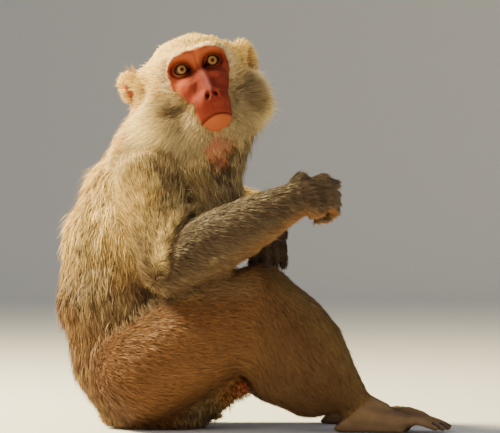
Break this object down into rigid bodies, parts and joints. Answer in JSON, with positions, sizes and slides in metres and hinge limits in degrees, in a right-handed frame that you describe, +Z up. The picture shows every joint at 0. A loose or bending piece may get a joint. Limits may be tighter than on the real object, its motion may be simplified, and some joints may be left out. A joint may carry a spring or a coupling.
{
  "type": "rhesus macaque, sitting, still display model",
  "caption": "Life-size rhesus macaque that sits on its rump, feet set down in front, one fist held out, its red face turned to its right.",
  "frame": {"origin": "on the floor, under the middle of the outline seen from above", "axes": "+X the way the body faces, +Y to the animal's left, +Z up"},
  "size_m": [0.444, 0.2742, 0.4474],
  "materials": {
    "coat": "matt fur",
    "bare_skin": "satin",
    "ear_skin": "satin",
    "eye": "wet gloss"
  },
  "bodies": {
    "root": {"head": "coat", "neck": "coat", "trunk": "coat", "tail_root": "coat", "tail_tip": "coat", "right_upper_arm": "coat", "right_forearm": "coat", "right_hand": "bare_skin", "left_upper_arm": "coat", "left_forearm": "coat", "left_hand": "bare_skin", "right_thigh": "coat", "right_shank": "coat", "right_foot": "bare_skin", "left_thigh": "coat", "left_shank": "coat", "left_foot": "bare_skin", "right_ear": "ear_skin", "left_ear": "ear_skin", "right_eye": "eye", "left_eye": "eye"}
  },
  "joints": []
}
